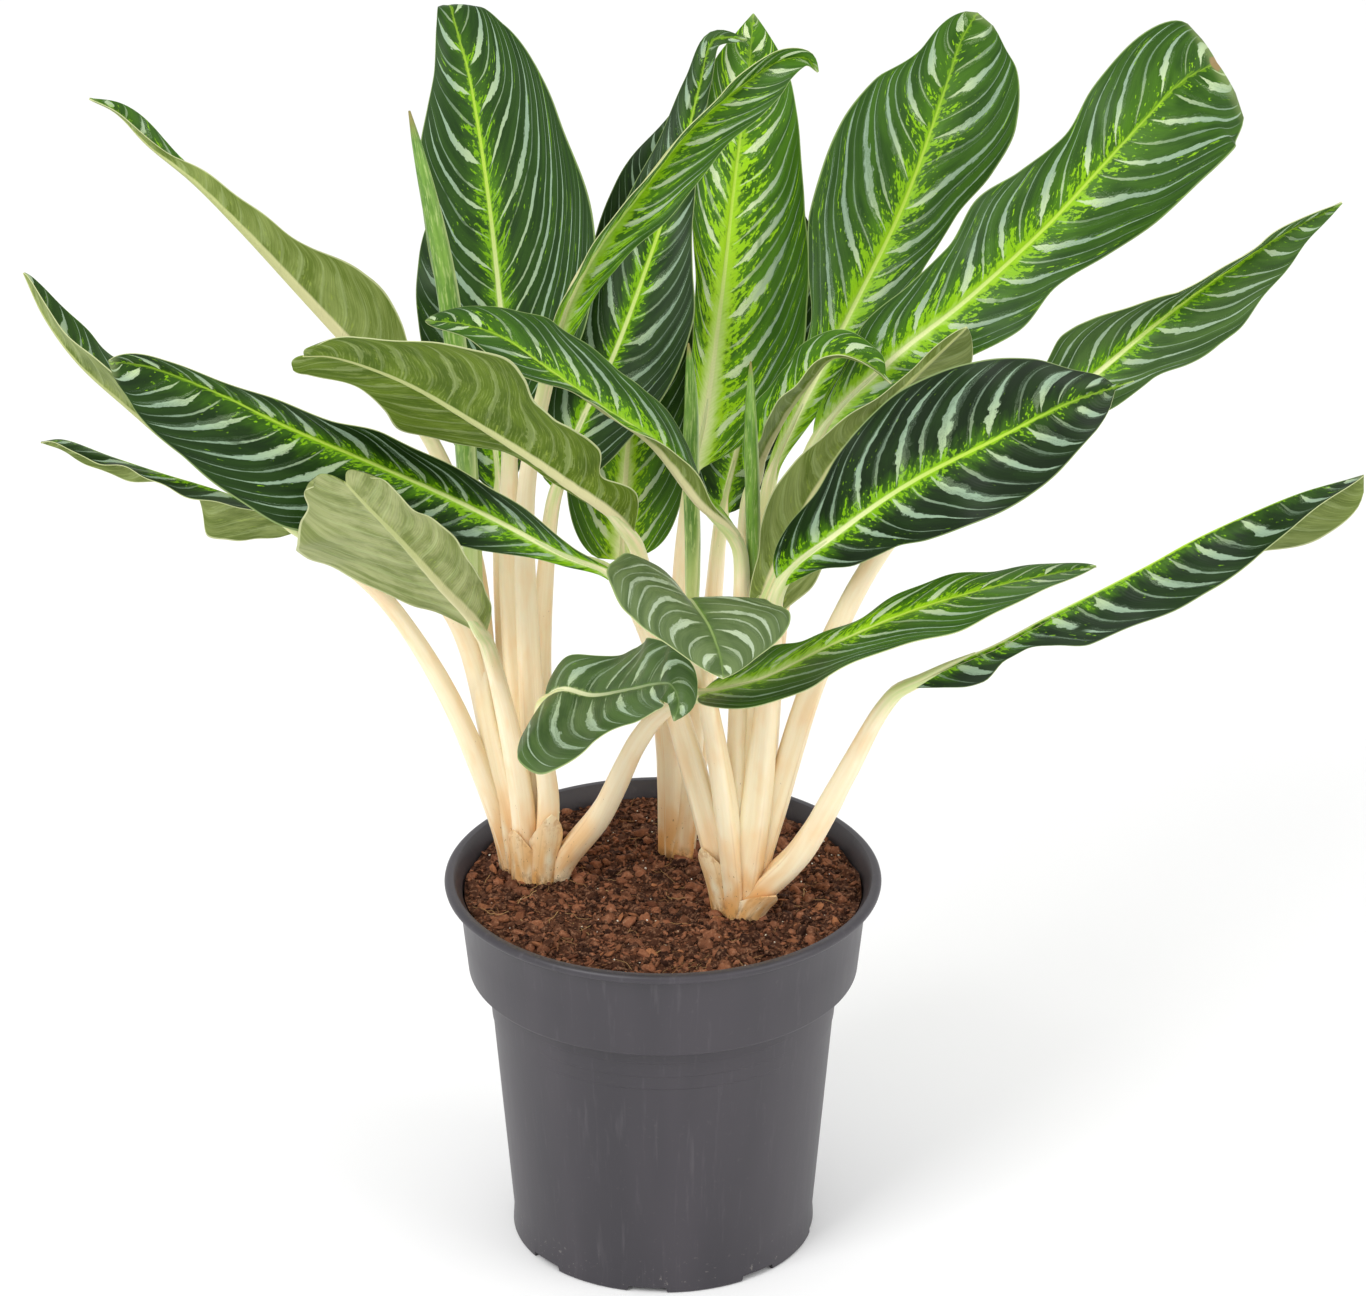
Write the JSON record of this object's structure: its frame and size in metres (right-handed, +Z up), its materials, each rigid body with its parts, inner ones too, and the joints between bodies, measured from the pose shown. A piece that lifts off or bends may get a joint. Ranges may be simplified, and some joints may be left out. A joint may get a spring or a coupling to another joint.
{
  "type": "potted chinese evergreen",
  "caption": "Leafy house plant with long patterned leaf blades on pale stalks, rising from soil in a round tapered nursery pot.",
  "frame": {"origin": "centre of the pot's underside, on the flat pad at its middle, level with the surface the pot stands on", "axes": "+Z up along the pot's axis; the side that the picture shows faces -Y; +X to the right seen from that side"},
  "size_m": [0.5579, 0.2848, 0.5525],
  "materials": {
    "pot_plastic": "satin",
    "soil": "matte",
    "stalk": "satin",
    "leaf_dark": "satin",
    "leaf_young": "satin",
    "spear": "satin"
  },
  "bodies": {
    "root": {"pot": "pot_plastic", "soil": "soil", "stalks_left": "stalk", "stalks_back": "stalk", "stalks_right": "stalk", "leaf_tall_left": "leaf_dark", "leaf_left_behind": "leaf_dark", "leaf_slanting": "leaf_young", "leaf_curled_tip": "leaf_dark", "leaf_upper_left": "leaf_dark", "leaf_far_left": "leaf_dark", "leaf_left_low": "leaf_dark", "leaf_under_low": "leaf_dark", "leaf_low_forward": "leaf_dark", "leaf_low_right": "leaf_young", "leaf_behind_slant": "leaf_dark", "leaf_under_left": "leaf_dark", "leaf_centre_tall": "leaf_young", "leaf_behind_centre": "leaf_dark", "leaf_front_to_left": "leaf_young", "leaf_broad_left": "leaf_dark", "leaf_facing": "leaf_dark", "leaf_right_tall": "leaf_dark", "leaf_arched": "leaf_young", "leaf_wide_right": "leaf_dark", "leaf_far_right_up": "leaf_dark", "leaf_broad_right": "leaf_dark", "leaf_under_right": "leaf_dark", "leaf_far_right": "leaf_dark", "spear_left": "spear", "spear_middle": "spear", "spear_right": "spear"}
  },
  "joints": []
}
